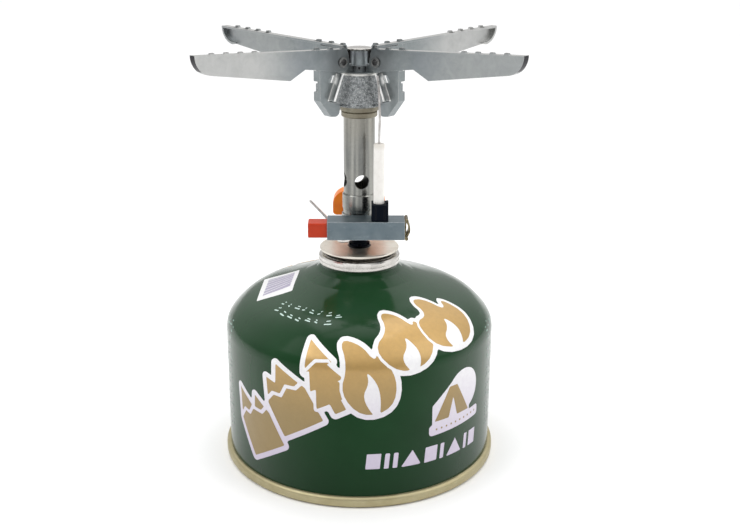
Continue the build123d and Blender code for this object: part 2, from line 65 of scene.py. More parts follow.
# ---------------------------------------------------------------- node tree helpers
class Shade:
    """A principled material with short calls for the nodes that feed it."""

    def __init__(self, name, color, metallic=0.0, roughness=0.4, **sockets):
        self.material = bpy.data.materials.new(name)
        self.material.use_nodes = True
        self.tree = self.material.node_tree
        self.tree.nodes.clear()
        self.out = self.tree.nodes.new("ShaderNodeOutputMaterial")
        self.shader = self.tree.nodes.new("ShaderNodeBsdfPrincipled")
        self.tree.links.new(self.shader.outputs[0], self.out.inputs[0])
        self.shader.inputs["Base Color"].default_value = (*color, 1.0)
        self.shader.inputs["Metallic"].default_value = metallic
        self.shader.inputs["Roughness"].default_value = roughness
        for socket, value in sockets.items():
            self.shader.inputs[socket.replace("_", " ")].default_value = value
        self.coords = self.tree.nodes.new("ShaderNodeTexCoord").outputs["Object"]
        self.bump_last = None

    def node(self, kind, **settings):
        """A new node of this kind with its properties set."""
        made = self.tree.nodes.new(kind)
        for key, value in settings.items():
            setattr(made, key, value)
        return made

    def link(self, source, target):
        self.tree.links.new(source, target)

    def place(self, scale=(1, 1, 1), source=None):
        """Coordinates stretched by scale."""
        mapping = self.node("ShaderNodeMapping")
        mapping.inputs["Scale"].default_value = scale
        self.link(source or self.coords, mapping.inputs["Vector"])
        return mapping.outputs[0]

    def noise(self, scale, detail=3.0, rough=0.55, stretch=(1, 1, 1), source=None, distortion=0.0):
        """Cloudy noise from 0 to 1; scale is in cells per metre."""
        texture = self.node("ShaderNodeTexNoise")
        texture.inputs["Scale"].default_value = scale
        texture.inputs["Detail"].default_value = detail
        texture.inputs["Roughness"].default_value = rough
        texture.inputs["Distortion"].default_value = distortion
        self.link(self.place(stretch, source), texture.inputs["Vector"])
        return texture.outputs[0]

    def speckle(self, scale):
        """Distance to the nearest of many scattered points."""
        texture = self.node("ShaderNodeTexVoronoi")
        texture.inputs["Scale"].default_value = scale
        self.link(self.coords, texture.inputs["Vector"])
        return texture.outputs["Distance"]

    def math(self, operation, a, b=None):
        """One arithmetic node; each operand is a socket or a number."""
        made = self.node("ShaderNodeMath", operation=operation)
        for slot, value in enumerate((a, b)):
            if value is None:
                continue
            if isinstance(value, (int, float)):
                made.inputs[slot].default_value = value
            else:
                self.link(value, made.inputs[slot])
        return made.outputs[0]

    def span(self, value, low, high, to_low=0.0, to_high=1.0, smooth=False):
        """Maps low..high onto to_low..to_high, clamped at both ends."""
        made = self.node("ShaderNodeMapRange")
        made.interpolation_type = "SMOOTHSTEP" if smooth else "LINEAR"
        self.link(value, made.inputs["Value"])
        for key, number in (("From Min", low), ("From Max", high), ("To Min", to_low), ("To Max", to_high)):
            made.inputs[key].default_value = number
        return made.outputs[0]

    def split(self, source=None):
        """The x, y and z of a vector, by default the object coordinates."""
        made = self.node("ShaderNodeSeparateXYZ")
        self.link(source or self.coords, made.inputs[0])
        return made.outputs

    def radius(self):
        """Distance from the stove's upright axis."""
        x, y, _ = self.split()
        square = self.math("ADD", self.math("MULTIPLY", x, x), self.math("MULTIPLY", y, y))
        return self.math("SQRT", square)

    def facing(self):
        """0 where a surface faces the viewer and 1 where it turns away."""
        return self.node("ShaderNodeLayerWeight").outputs["Facing"]

    def outward(self):
        """How far the surface faces away from the stove's upright axis, from -1 to 1."""
        x, y, _ = self.split()
        flat = self.node("ShaderNodeCombineXYZ")
        self.link(x, flat.inputs[0])
        self.link(y, flat.inputs[1])
        unit = self.node("ShaderNodeVectorMath", operation="NORMALIZE")
        self.link(flat.outputs[0], unit.inputs[0])
        dot = self.node("ShaderNodeVectorMath", operation="DOT_PRODUCT")
        self.link(unit.outputs[0], dot.inputs[0])
        self.link(self.node("ShaderNodeNewGeometry").outputs["Normal"], dot.inputs[1])
        return dot.outputs["Value"]

    def pin_gap(self):
        """Distance from the nearest fold pin's axis, which runs level across each arm."""
        along = self.math("SUBTRACT", self.radius(), PIVOT_REACH)
        up = self.math("SUBTRACT", self.split()[2], PIVOT_HEIGHT)
        square = self.math("ADD", self.math("MULTIPLY", along, along), self.math("MULTIPLY", up, up))
        return self.math("SQRT", square)

    def around(self):
        """Coordinates that follow the turned surface: angle, radius and height in metres."""
        x, y, z = self.split()
        angle = self.math("MULTIPLY", self.math("ARCTAN2", y, x), 0.01)
        joined = self.node("ShaderNodeCombineXYZ")
        self.link(angle, joined.inputs[0])
        self.link(self.radius(), joined.inputs[1])
        self.link(z, joined.inputs[2])
        return joined.outputs[0]

    def mix(self, factor, a, b):
        """Colour a where factor is 0 and b where it is 1."""
        made = self.node("ShaderNodeMix", data_type="RGBA")
        self.link(factor, made.inputs["Factor"])
        first_color, second_color = 6, 7
        for slot, value in ((first_color, a), (second_color, b)):
            if isinstance(value, tuple):
                made.inputs[slot].default_value = (*value, 1.0)
            else:
                self.link(value, made.inputs[slot])
        return made.outputs[2]

    def color(self, source):
        self.link(source, self.shader.inputs["Base Color"])

    def roughness(self, source):
        self.link(source, self.shader.inputs["Roughness"])

    def bump(self, height, strength, distance):
        """Adds a layer of surface relief on top of the earlier ones."""
        made = self.node("ShaderNodeBump")
        made.inputs["Strength"].default_value = strength
        made.inputs["Distance"].default_value = distance
        self.link(height, made.inputs["Height"])
        if self.bump_last is not None:
            self.link(self.bump_last, made.inputs["Normal"])
        self.bump_last = made.outputs[0]
        self.link(self.bump_last, self.shader.inputs["Normal"])

    def edge_wear(self, width=0.0004):
        """1 on outer edges and 0 on flat stretches."""
        bevel = self.node("ShaderNodeBevel")
        bevel.inputs["Radius"].default_value = width
        geometry = self.node("ShaderNodeNewGeometry")
        dot = self.node("ShaderNodeVectorMath", operation="DOT_PRODUCT")
        self.link(bevel.outputs[0], dot.inputs[0])
        self.link(geometry.outputs["Normal"], dot.inputs[1])
        return self.span(dot.outputs["Value"], 0.985, 0.86)


# ---------------------------------------------------------------- materials
def green_paint():
    """Deep green gloss enamel, a little darker towards the foot, with fine dust and orange peel."""
    m = Shade("green_paint", (0.01, 0.05, 0.02), roughness=0.16)
    z = m.split()[2]
    tone = m.noise(45, 4, 0.5)
    base = m.mix(m.span(tone, 0.3, 0.7), (0.009, 0.038, 0.0135), (0.0125, 0.048, 0.018))
    low = m.span(z, 0.004, 0.035, 1.0, 0.0, smooth=True)
    base = m.mix(m.math("MULTIPLY", low, 0.5), base, (0.009, 0.03, 0.012))
    dust = m.span(m.noise(1500, 2, 0.6), 0.7, 0.8, 0.0, 0.2)
    m.color(m.mix(dust, base, (0.04, 0.085, 0.055)))
    m.roughness(m.span(m.noise(160, 5, 0.6), 0.3, 0.75, 0.1, 0.2))
    m.link(m.span(m.facing(), 0.08, 0.45, 0.03, 0.32), m.shader.inputs["Specular IOR Level"])
    m.bump(m.noise(420, 2, 0.5), 0.02, 0.00005)
    return m.material


def gold_lacquer():
    """Pale gold lacquer on the rolled seam, streaked round the rim and rubbed at its edges."""
    m = Shade("gold_lacquer", (0.5, 0.43, 0.26), metallic=0.75, roughness=0.42)
    ring = m.around()
    streak = m.noise(300, 3, 0.6, (6, 1, 30), ring)
    blotch = m.noise(120, 4, 0.6)
    base = m.mix(m.span(blotch, 0.3, 0.7), (0.39, 0.34, 0.19), (0.47, 0.42, 0.26))
    wear = m.math("MULTIPLY", m.edge_wear(0.0005), m.span(m.noise(700, 3), 0.45, 0.6))
    m.color(m.mix(m.math("MULTIPLY", wear, 0.5), base, (0.6, 0.57, 0.48)))
    m.roughness(m.span(streak, 0.3, 0.7, 0.36, 0.52))
    m.bump(streak, 0.12, 0.0001)
    return m.material


def turned_metal(name, color, dark, roughness, pitch, depth, neck_reflection_radius=0.0):
    """Lathe-turned metal: fine rings round the axis, a little stain, and, when a radius is given, black
    painted inside it round the axis as a painted reflection of the dark valve neck.
    """
    m = Shade(name, color, metallic=1.0, roughness=roughness)
    ring = m.around()
    groove = m.noise(pitch, 2, 0.5, (0.4, 40, 40), ring)
    stain = m.noise(180, 4, 0.6)
    wear = m.edge_wear(0.0003)
    base = m.mix(m.span(stain, 0.35, 0.75), color, dark)
    fleck = m.span(m.noise(1900, 3, 0.7), 0.6, 0.7, 0.0, 0.45)
    base = m.mix(fleck, base, tuple(c * 0.55 for c in dark))
    base = m.mix(m.math("MULTIPLY", wear, 0.4), base, (0.85, 0.84, 0.82))
    # Near the axis the colour is painted black: a painted reflection of the dark valve neck standing on the
    # disc.
    m.color(m.mix(m.span(m.radius(), neck_reflection_radius, neck_reflection_radius - 0.0004), base, (0.015, 0.015, 0.016)) if neck_reflection_radius else base)
    satin = m.span(stain, 0.3, 0.7, roughness * 0.8, roughness * 1.25)
    m.roughness(m.math("ADD", satin, m.span(groove, 0.3, 0.7, -0.03, 0.05)))
    m.bump(groove, depth, 0.00006)
    return m.material


def zinc_sheet():
    """Zinc-plated sheet of the legs and arms, with painted light and shade: lighter outer arms, darker
    front-right and back-left arms, darker roots, a near-white leg strip and lighter tops, and teeth, end
    faces and pin bores painted black as shade.
    """
    m = Shade("zinc_sheet", (0.32, 0.34, 0.35), metallic=1.0, roughness=0.36)
    grain = m.noise(900, 3, 0.6, (1, 1, 0.15))
    spangle = m.noise(260, 4, 0.65, distortion=0.6)
    cloud = m.noise(60, 3, 0.5)
    base = m.mix(m.span(spangle, 0.3, 0.7), (0.22, 0.245, 0.25), (0.3, 0.325, 0.33))
    base = m.mix(m.span(cloud, 0.4, 0.7, 0.0, 0.5), base, (0.25, 0.275, 0.3))
    scuff = m.span(m.noise(500, 5, 0.7, (0.3, 1, 1)), 0.6, 0.74, 0.0, 0.5)
    base = m.mix(scuff, base, (0.2, 0.21, 0.21))
    base = m.mix(m.math("MULTIPLY", m.edge_wear(0.0003), 0.6), base, (0.62, 0.63, 0.62))
    reach = m.radius()
    z = m.split()[2]
    crest = m.math("ADD", m.math("MULTIPLY", reach, CREST_SLOPE), CREST_HEIGHT)
    above = m.math("SUBTRACT", z, crest)
    # Above the crest line the teeth are painted near-black in patches as painted shade.
    patchy = m.span(m.noise(700, 3), 0.3, 0.5, 0.6, 0.95)
    teeth_painted_shade = m.math("MULTIPLY", m.span(above, 0.0002, 0.0012, smooth=True), patchy)
    # The outer arms are painted lighter as painted light; on the front-right and back-left arms less so,
    # leaving them darker as painted shade.
    x, y, _ = m.split()
    painted_shade_quadrants = m.span(m.math("MULTIPLY", x, y), -0.0004, 0.0, 0.4, 1.0)
    outer = m.math("MULTIPLY", m.span(reach, 0.024, 0.05, 0.0, 0.8, smooth=True), painted_shade_quadrants)
    base = m.mix(outer, base, m.mix(m.span(spangle, 0.3, 0.7), (0.48, 0.48, 0.47), (0.58, 0.58, 0.565)))
    # The arm roots near the hub are painted darker as painted shade.
    root_painted_shade = m.math("MULTIPLY", m.span(reach, 0.02, 0.012, smooth=True), m.span(z, 0.1548, 0.156))
    base = m.mix(m.math("MULTIPLY", root_painted_shade, 0.5), base, (0.13, 0.14, 0.145))
    # The strip on each leg is painted near-white as a painted highlight; it leans inward as it rises, so
    # reach and height together follow it
    slant = m.math("ADD", m.math("MULTIPLY", reach, 2.4), z)
    strip = m.math("MULTIPLY", m.span(slant, 0.1787, 0.1793), m.span(slant, 0.1824, 0.1816))
    strip = m.math("MULTIPLY", strip, m.math("MULTIPLY", m.span(z, 0.1446, 0.145), m.span(z, 0.1548, 0.1545)))
    base = m.mix(strip, base, (0.93, 0.93, 0.91))
    # Upward faces just under the crest are painted lighter as a painted highlight on the arms' tops.
    upward = m.split(m.node("ShaderNodeNewGeometry").outputs["Normal"])[2]
    top = m.math("MULTIPLY", m.span(upward, 0.6, 0.9), m.span(above, -0.0009, -0.0005))
    base = m.mix(top, base, (0.42, 0.42, 0.41))
    # The pin bores are painted black as painted shade.
    pin = m.span(m.pin_gap(), BORE + 0.0001, BORE)
    base = m.mix(pin, base, (0.004, 0.004, 0.004))
    # The arms' outward end faces are painted near-black as painted shade.
    end = m.math("MULTIPLY", m.span(reach, 0.0690, 0.0696), m.span(m.outward(), 0.35, 0.6))
    base = m.mix(end, base, (0.03, 0.03, 0.034))
    m.color(m.mix(teeth_painted_shade, base, (0.035, 0.032, 0.03)))
    satin = m.math("ADD", m.span(spangle, 0.3, 0.7, 0.3, 0.44), m.span(grain, 0.3, 0.7, -0.04, 0.06))
    m.roughness(m.math("ADD", satin, m.math("MULTIPLY", top, 0.25)))
    m.bump(grain, 0.08, 0.00005)
    m.bump(cloud, 0.05, 0.0004)
    return m.material


def box_zinc():
    """Blue-grey passivated sheet of the igniter box with brighter folds."""
    m = Shade("box_zinc", (0.16, 0.2, 0.225), metallic=0.85, roughness=0.42)
    cloud = m.noise(170, 4, 0.6)
    grain = m.noise(700, 3, 0.6, (0.2, 1, 1))
    base = m.mix(m.span(cloud, 0.3, 0.7), (0.122, 0.16, 0.183), (0.168, 0.207, 0.228))
    scuff = m.span(m.noise(420, 5, 0.7, (0.4, 1, 1)), 0.6, 0.72, 0.0, 0.5)
    base = m.mix(scuff, base, (0.3, 0.34, 0.36))
    m.color(m.mix(m.math("MULTIPLY", m.edge_wear(0.0003), 0.8), base, (0.6, 0.64, 0.66)))
    m.roughness(m.span(grain, 0.3, 0.7, 0.34, 0.48))
    m.bump(grain, 0.06, 0.00004)
    return m.material


def olive_steel():
    """Thin spring plate with an oily olive stain."""
    m = Shade("olive_steel", (0.14, 0.12, 0.07), metallic=0.9, roughness=0.35)
    stain = m.noise(900, 4, 0.6)
    base = m.mix(m.span(stain, 0.38, 0.62), (0.06, 0.05, 0.03), (0.24, 0.2, 0.11))
    m.color(m.mix(m.math("MULTIPLY", m.edge_wear(0.0002), 0.7), base, (0.4, 0.36, 0.26)))
    m.roughness(m.span(m.noise(1500, 2), 0.3, 0.7, 0.28, 0.46))
    m.bump(stain, 0.1, 0.00005)
    return m.material


def eyelets():
    """Rolled eyelets round the fold pins: grey rims, and bores painted black as shade."""
    m = Shade("eyelets", (0.2, 0.21, 0.21), metallic=1.0, roughness=0.34)
    gap = m.pin_gap()
    stain = m.noise(900, 4, 0.6)
    rim = m.mix(m.span(stain, 0.35, 0.65), (0.14, 0.145, 0.145), (0.3, 0.3, 0.29))
    # Inside the bore the colour is painted black and made non-metallic as painted shade.
    m.color(m.mix(m.span(gap, BORE, BORE + 0.00015), (0.006, 0.006, 0.006), rim))
    m.link(m.span(gap, BORE, BORE + 0.00015), m.shader.inputs["Metallic"])
    m.roughness(m.span(m.noise(1500, 2), 0.3, 0.7, 0.28, 0.44))
    m.bump(stain, 0.08, 0.00005)
    return m.material


def tube_steel():
    """Drawn steel with long light and dark stripes painted as reflections, turned rings at the collar and
    heat tint at the top.
    """
    m = Shade("tube_steel", (0.3, 0.3, 0.28), metallic=1.0, roughness=0.26)
    ring = m.around()
    z = m.split()[2]
    # Long light and dark stripes round the tube are painted reflections.
    reflection_streaks = m.noise(130, 1, 0.5, (2.1, 1, 0.1), ring)
    drawn = m.noise(500, 3, 0.6, (8, 1, 0.4), ring)
    turned = m.noise(700, 2, 0.6, (0.3, 1, 14), ring)
    stain = m.noise(140, 4, 0.6)
    base = m.mix(m.span(reflection_streaks, 0.36, 0.64, smooth=True), (0.14, 0.145, 0.14), (0.33, 0.33, 0.305))
    base = m.mix(m.span(stain, 0.35, 0.7, 0.0, 0.4), base, (0.27, 0.27, 0.25))
    base = m.mix(m.span(turned, 0.55, 0.75, 0.0, 0.35), base, (0.16, 0.16, 0.15))
    heat = m.math("ADD", m.span(z, 0.122, 0.139, 0.0, 0.4, smooth=True), m.span(stain, 0.3, 0.7, -0.08, 0.08))
    m.color(m.mix(heat, base, (0.32, 0.3, 0.25)))
    m.roughness(m.math("ADD", m.span(drawn, 0.3, 0.7, 0.18, 0.32), m.span(turned, 0.3, 0.7, -0.03, 0.04)))
    m.bump(drawn, 0.06, 0.00005)
    m.bump(turned, 0.05, 0.00004)
    return m.material


def cast_alloy():
    """Sand-cast alloy: coarse grey grains with bright flecks painted as glints, and dark pits."""
    m = Shade("cast_alloy", (0.3, 0.32, 0.32), metallic=0.6, roughness=0.6)
    grit = m.noise(1500, 3, 0.6)
    pits = m.span(m.speckle(1300), 0.05, 0.35)
    mottle = m.noise(900, 4, 0.75)
    base = m.mix(m.span(mottle, 0.38, 0.62), (0.12, 0.13, 0.137), (0.34, 0.36, 0.365))
    # Bright flecks are painted glints.
    painted_glints = m.span(m.noise(2600, 2, 0.6), 0.56, 0.66)
    base = m.mix(m.math("MULTIPLY", painted_glints, 0.7), base, (0.72, 0.73, 0.72))
    m.color(base)
    m.roughness(m.span(grit, 0.3, 0.7, 0.42, 0.7))
    m.bump(grit, 0.4, 0.00014)
    m.bump(pits, 0.35, 0.00012)
    return m.material


def heat_steel():
    """Steel greyed by heat, browner on the collar under the cone, with the crown darkened in patches round
    its foot and black over the middle of its top.
    """
    m = Shade("heat_steel", (0.26, 0.26, 0.25), metallic=1.0, roughness=0.36)
    tint = m.noise(220, 3, 0.5)
    z = m.split()[2]
    band = m.noise(90, 2, 0.4, (1, 1, 6))
    base = m.mix(m.span(tint, 0.35, 0.7), (0.27, 0.3, 0.31), (0.18, 0.195, 0.2))
    base = m.mix(m.span(band, 0.45, 0.62, 0.0, 0.5), base, (0.19, 0.2, 0.22))
    brown = m.span(z, 0.1425, 0.1415, smooth=True)
    base = m.mix(brown, base, m.mix(m.span(tint, 0.35, 0.7), (0.3, 0.28, 0.22), (0.19, 0.165, 0.12)))
    plate = m.math("MULTIPLY", m.span(z, 0.1533, 0.1535), m.span(z, 0.1547, 0.1545))
    base = m.mix(m.math("MULTIPLY", plate, m.span(m.radius(), 0.006, 0.0064)), base, (0.66, 0.66, 0.63))
    foot = m.math("MULTIPLY", m.span(z, 0.1546, 0.155), m.span(z, 0.1572, 0.1566))
    base = m.mix(m.math("MULTIPLY", foot, m.span(tint, 0.4, 0.55, 0.4, 0.9)), base, (0.05, 0.05, 0.05))
    lugs = m.math("MULTIPLY", m.span(m.radius(), 0.0032, 0.0034), m.span(z, 0.157, 0.1573))
    m.color(m.mix(lugs, base, (0.02, 0.02, 0.02)))
    m.roughness(m.span(m.noise(800, 3), 0.3, 0.7, 0.4, 0.58))
    m.bump(m.noise(1100, 2), 0.08, 0.00005)
    return m.material


def brass():
    """Machined brass, stained in patches and bright on its edges."""
    m = Shade("brass", (0.68, 0.55, 0.28), metallic=1.0, roughness=0.28)
    stain = m.noise(300, 4, 0.6)
    base = m.mix(m.span(stain, 0.35, 0.7), (0.66, 0.54, 0.28), (0.46, 0.36, 0.18))
    m.color(m.mix(m.math("MULTIPLY", m.edge_wear(0.0003), 0.6), base, (0.85, 0.76, 0.5)))
    m.roughness(m.span(m.noise(900, 3), 0.3, 0.7, 0.2, 0.38))
    m.bump(m.noise(1500, 2, 0.5, (1, 1, 4)), 0.08, 0.00005)
    return m.material


def spring_steel():
    """Drawn spring wire with darker heat stains."""
    m = Shade("spring_steel", (0.5, 0.5, 0.5), metallic=1.0, roughness=0.3)
    stain = m.noise(500, 4, 0.6)
    m.color(m.mix(m.span(stain, 0.35, 0.7), (0.62, 0.61, 0.6), (0.4, 0.38, 0.36)))
    m.roughness(m.span(m.noise(1500, 2), 0.3, 0.7, 0.24, 0.42))
    m.bump(m.noise(2400, 2, 0.5, (1, 1, 0.2)), 0.1, 0.00004)
    return m.material


def plastic(name, color, deep, roughness, coat=0.0, glow=0.0, shine=0.3):
    """Moulded plastic: faint mould texture, slightly darker flow, lighter worn edges."""
    m = Shade(name, color, roughness=roughness, Coat_Weight=coat, Coat_Roughness=0.2, Subsurface_Weight=glow,
              Subsurface_Scale=0.002, Specular_IOR_Level=shine)
    flow = m.noise(120, 3, 0.5)
    grain = m.noise(2600, 2, 0.5)
    base = m.mix(m.span(flow, 0.3, 0.7), color, deep)
    light = tuple(min(1.0, c * 1.25 + 0.03) for c in color)
    m.color(m.mix(m.math("MULTIPLY", m.edge_wear(0.0004), 0.6), base, light))
    m.roughness(m.span(grain, 0.3, 0.7, roughness * 0.85, roughness * 1.2))
    m.bump(grain, 0.12, 0.00004)
    return m.material


def rubber():
    """Dull black rubber."""
    m = Shade("black_rubber", (0.02, 0.02, 0.02), roughness=0.65)
    m.color(m.mix(m.span(m.noise(300, 4), 0.3, 0.7), (0.016, 0.016, 0.017), (0.035, 0.034, 0.033)))
    m.roughness(m.span(m.noise(1200, 3), 0.3, 0.7, 0.55, 0.75))
    m.bump(m.noise(2200, 2), 0.15, 0.00004)
    return m.material


def white_ceramic():
    """Glazed white ceramic, browned a little at the top and faintly soiled."""
    m = Shade("white_ceramic", (0.86, 0.84, 0.8), roughness=0.3, Coat_Weight=0.3, Coat_Roughness=0.15)
    z = m.split()[2]
    soil = m.math("MULTIPLY", m.span(m.noise(350, 4, 0.6), 0.45, 0.75), 0.3)
    base = m.mix(soil, (0.87, 0.85, 0.81), (0.7, 0.67, 0.62))
    top = m.span(z, 0.1265, 0.1295, 0.0, 0.5, smooth=True)
    m.color(m.mix(top, base, (0.6, 0.54, 0.46)))
    m.roughness(m.span(m.noise(1300, 3), 0.3, 0.7, 0.24, 0.42))
    m.bump(m.noise(1800, 2), 0.06, 0.00004)
    return m.material


def ink(name, top, bottom, low, high, metallic=0.0, roughness=0.35):
    """Printed ink whose tone drifts from bottom to top, with fine print mottle."""
    m = Shade(name, top, metallic=metallic, roughness=roughness, Coat_Weight=0.4, Coat_Roughness=0.08)
    z = m.split()[2]
    drift = m.span(z, low, high, smooth=True)
    base = m.mix(drift, bottom, top)
    mottle = m.span(m.noise(700, 3, 0.6), 0.35, 0.7, 0.0, 0.16)
    m.color(m.mix(mottle, base, tuple(c * 0.8 for c in bottom)))
    m.roughness(m.span(m.noise(300, 3), 0.3, 0.7, roughness * 0.85, roughness * 1.2))
    m.bump(m.noise(900, 2), 0.04, 0.00004)
    return m.material


MATERIALS = {
    "green_paint": green_paint(),
    "gold_lacquer": gold_lacquer(),
    "cup_steel": turned_metal("cup_steel", (0.66, 0.64, 0.61), (0.5, 0.48, 0.45), 0.24, 300, 0.12),
    "disc_plate": turned_metal("disc_plate", (0.84, 0.8, 0.72), (0.68, 0.63, 0.55), 0.36, 260, 0.08, 0.0048),
    "zinc_sheet": zinc_sheet(),
    "tube_steel": tube_steel(),
    "cast_alloy": cast_alloy(),
    "heat_steel": heat_steel(),
    "brass": brass(),
    "spring_steel": spring_steel(),
    "black_plastic": plastic("black_plastic", (0.0025, 0.0045, 0.009), (0.004, 0.006, 0.01), 0.5, shine=0.04),
    "black_rubber": rubber(),
    "orange_plastic": plastic("orange_plastic", (0.9, 0.26, 0.01), (0.78, 0.18, 0.006), 0.34, 0.1, 0.15),
    "red_plastic": plastic("red_plastic", (0.53, 0.045, 0.01), (0.4, 0.026, 0.007), 0.4, 0.05, 0.05, 0.2),
    "white_ceramic": white_ceramic(),
    "natural_plastic": plastic("natural_plastic", (0.6, 0.56, 0.48), (0.5, 0.46, 0.38), 0.4),
}
# Pieces whose finish differs from the rest of their material slot
OWN_FINISH = {
    "igniter_bracket": box_zinc(),
    "igniter_end_cap": olive_steel(),
    "igniter_contact": olive_steel(),
    "arm_rivets": eyelets(),
}

slots = {entry["node"]: entry["material_slot"] for entry in frame["record"]["subparts"]}
for name, piece in nodes.items():
    piece.data.materials.clear()
    piece.data.materials.append(OWN_FINISH.get(name) or MATERIALS[slots[name]])


# ---------------------------------------------------------------- printed artwork on the canister
def shell_profile():
    """Outer outline of the canister shell as (path length, radius, height) in mm, read from the frame."""
    points = np.array([v.co for v in nodes["canister_shell"].data.vertices]) / MM
    radius = np.hypot(points[:, 0], points[:, 1])
    height = points[:, 2]
    wall = radius.max()
    wall_top = 52.0
    half_band = 1.2
    outline = []
    for level in np.arange(2.0, height.max() - 4.0, 0.5):
        band = np.abs(height - level) < half_band
        if level < wall_top or not band.any():
            outline.append((wall, level))
            continue
        widest = np.argmax(radius[band])
        outline.append((radius[band][widest], height[band][widest]))
    kept = [outline[0]]
    for r, z in outline[1:]:
        last_r, last_z = kept[-1]
        apart = math.hypot(r - last_r, z - last_z) > 0.3
        if apart and r <= last_r + 0.01 and z > last_z:
            kept.append((r, z))
    kept = np.array(kept)
    step = np.hypot(np.diff(kept[:, 0]), np.diff(kept[:, 1]))
    path = np.concatenate([[kept[0, 1]], kept[0, 1] + np.cumsum(step)])
    return path, kept[:, 0], kept[:, 1]


PATH, PATH_R, PATH_Z = shell_profile()
WALL = PATH_R[0]


def on_shell(s, h, lift, turn):
    """Where the artwork point (arc length s, path height h) lies on the shell, in metres."""
    near = 0.6
    r = np.interp(h, PATH, PATH_R)
    z = np.interp(h, PATH, PATH_Z)
    dr = np.interp(h + near, PATH, PATH_R) - np.interp(h - near, PATH, PATH_R)
    dz = np.interp(h + near, PATH, PATH_Z) - np.interp(h - near, PATH, PATH_Z)
    size = math.hypot(dr, dz)
    r += lift * dz / size
    z -= lift * dr / size
    angle = s / WALL - math.pi / 2 + turn
    return Vector((r * math.cos(angle), r * math.sin(angle), z)) * MM


def polygon_distance(points, outline):
    """Signed distance from each point to a closed outline, negative inside."""
    best = np.full(len(points), 1e9)
    inside = np.zeros(len(points), bool)
    count = len(outline)
    for k in range(count):
        a = np.array(outline[k], float)
        b = np.array(outline[(k + 1) % count], float)
        edge = b - a
        to_point = points - a
        along = np.clip((to_point @ edge) / (edge @ edge), 0, 1)
        gap = to_point - along[:, None] * edge
        best = np.minimum(best, np.hypot(gap[:, 0], gap[:, 1]))
        crosses = (a[1] > points[:, 1]) != (b[1] > points[:, 1])
        with np.errstate(divide="ignore", invalid="ignore"):
            cut = a[0] + (points[:, 1] - a[1]) * (b[0] - a[0]) / (b[1] - a[1])
        inside ^= crosses & (points[:, 0] < cut)
    return np.where(inside, -best, best)


def union(*fields):
    """The shapes of several distance fields together."""
    return np.minimum.reduce(fields)


def smooth_outline(points, rounds):
    """A closed outline with its corners cut round, by repeated corner cutting."""
    line = [np.array(p, float) for p in points]
    for _ in range(rounds):
        fresh = []
        for k, a in enumerate(line):
            b = line[(k + 1) % len(line)]
            fresh.append(a * 0.75 + b * 0.25)
            fresh.append(a * 0.25 + b * 0.75)
        line = fresh
    return line


def outline_loop(cell, values):
    """The stretch of one grid cell that lies inside the shape, as corners and edge cuts in order."""
    loop = []
    for k in range(4):
        here, ahead = cell[k], cell[(k + 1) % 4]
        value, value_ahead = values[here[1], here[0]], values[ahead[1], ahead[0]]
        if value < 0:
            loop.append((here, here, 0.0))
        if (value < 0) != (value_ahead < 0):
            share = min(max(value / (value - value_ahead), 0.02), 0.98)
            loop.append((here, ahead, share))
    return loop


def printed(name, field, box, lift, material, turn, step):
    """A thin printed patch wherever field is negative, wrapped on the shell."""
    s0, s1, h0, h1 = box
    columns = int((s1 - s0) / step) + 2
    rows = int((h1 - h0) / step) + 2
    grid_s = s0 + np.arange(columns) * step
    grid_h = h0 + np.arange(rows) * step
    mesh_s, mesh_h = np.meshgrid(grid_s, grid_h)
    values = field(np.stack([mesh_s.ravel(), mesh_h.ravel()], 1)).reshape(rows, columns)
    mesh = bmesh.new()
    made = {}

    def vertex(here, ahead, share):
        key = tuple(sorted((here, ahead)))
        if key not in made:
            s = grid_s[here[0]] + share * (grid_s[ahead[0]] - grid_s[here[0]])
            h = grid_h[here[1]] + share * (grid_h[ahead[1]] - grid_h[here[1]])
            made[key] = mesh.verts.new(on_shell(s, h, lift, turn))
        return made[key]

    for j in range(rows - 1):
        for i in range(columns - 1):
            cell = ((i, j), (i + 1, j), (i + 1, j + 1), (i, j + 1))
            loop = [vertex(*corner) for corner in outline_loop(cell, values)]
            if len(loop) >= 3:
                mesh.faces.new(loop)
    data = bpy.data.meshes.new(name)
    mesh.to_mesh(data)
    mesh.free()
    for face in data.polygons:
        face.use_smooth = True
    piece = bpy.data.objects.new(name, data)
    bpy.context.scene.collection.objects.link(piece)
    data.materials.append(material)
    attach(piece, "canister")


GOLD_INK = ink("gold_ink", (0.5, 0.31, 0.1), (0.27, 0.19, 0.075), 0.03, 0.066, 0.45, 0.4)
PALE_INK = ink("pale_ink", (0.84, 0.84, 0.84), (0.56, 0.5, 0.62), 0.015, 0.06)
LILAC_INK = ink("lilac_ink", (0.36, 0.33, 0.45), (0.3, 0.28, 0.38), 0.04, 0.07)
MINT_INK = ink("mint_ink", (0.5, 0.66, 0.6), (0.4, 0.52, 0.48), 0.02, 0.07)
GHOST_INK = ink("ghost_ink", (0.15, 0.27, 0.22), (0.11, 0.2, 0.15), 0.02, 0.07)


def placed(outline, centre, tilt, grow):
    """The outline enlarged, turned by tilt degrees and moved to centre, all in artwork mm."""
    c, s = grow * math.cos(math.radians(tilt)), grow * math.sin(math.radians(tilt))
    return [(centre[0] + x * c - y * s, centre[1] + x * s + y * c) for x, y in outline]


